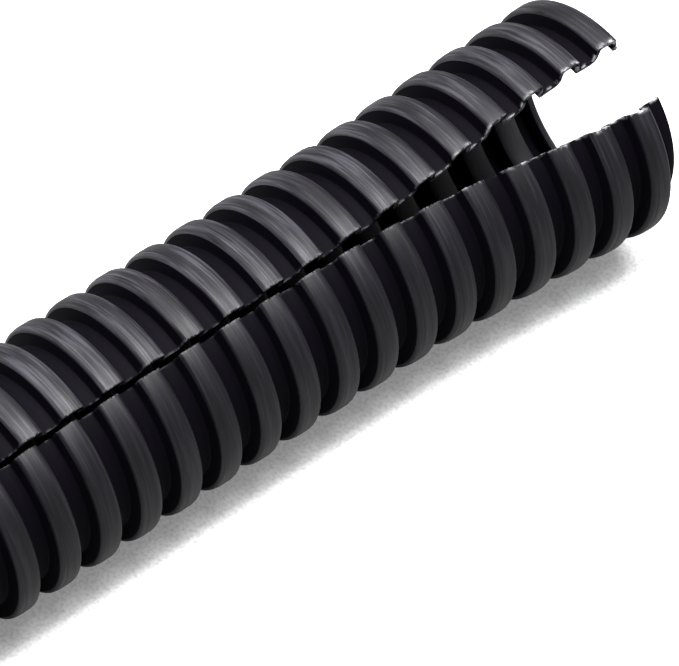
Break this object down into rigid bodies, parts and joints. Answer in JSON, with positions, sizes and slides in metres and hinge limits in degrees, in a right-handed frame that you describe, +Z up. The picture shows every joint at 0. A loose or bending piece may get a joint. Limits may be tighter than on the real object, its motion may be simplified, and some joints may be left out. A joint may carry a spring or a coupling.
{
  "type": "split corrugated conduit",
  "caption": "Thin-walled ribbed plastic tube slit along its length, for gathering and protecting cables; one end is sprung open.",
  "frame": {"origin": "on the floor under the middle of the tube", "axes": "+X along the tube towards the sprung-open end, +Z up, the slit turned 20 degrees from straight up towards -Y"},
  "size_m": [0.305, 0.0174, 0.0174],
  "materials": {
    "conduit": "satin"
  },
  "bodies": {
    "root": {"conduit": "conduit"}
  },
  "joints": []
}
